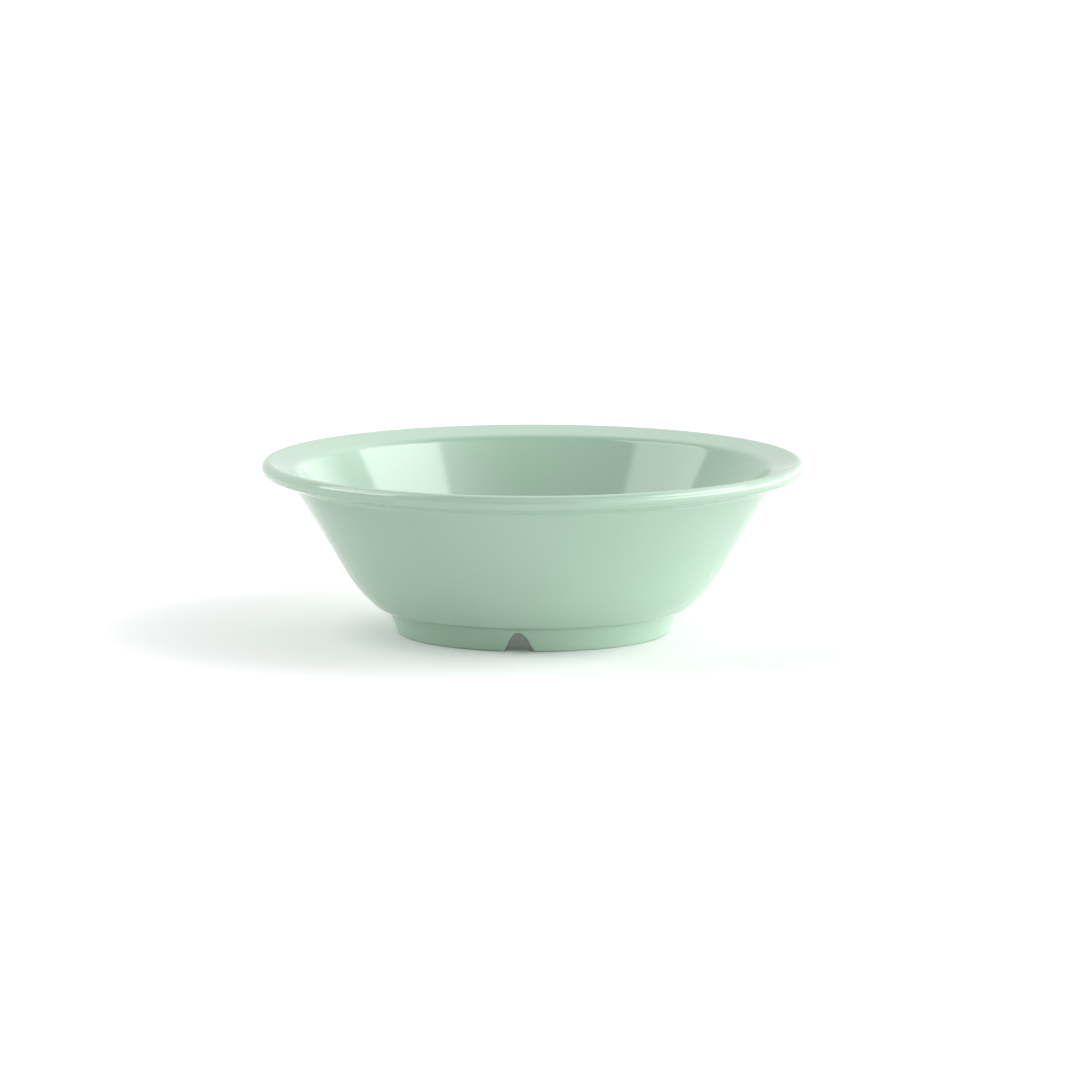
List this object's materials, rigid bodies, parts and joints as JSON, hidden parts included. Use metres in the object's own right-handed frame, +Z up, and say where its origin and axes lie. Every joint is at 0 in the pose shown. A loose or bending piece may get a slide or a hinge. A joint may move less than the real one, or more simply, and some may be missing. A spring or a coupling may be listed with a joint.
{
  "type": "rimmed bowl",
  "caption": "Round moulded bowl with a wide upturned rim, a conical wall and a notched foot ring to stand on.",
  "frame": {"origin": "centre of the circle that the foot ring stands on, at the bottom of the bowl", "axes": "+Z up along the axis that the bowl is turned about; -Y is the side with a drain notch in its middle"},
  "size_m": [0.18, 0.18, 0.0575],
  "materials": {
    "melamine": "glossy opaque mint green melamine, coloured through"
  },
  "bodies": {
    "root": {"bowl": "melamine"}
  },
  "joints": []
}
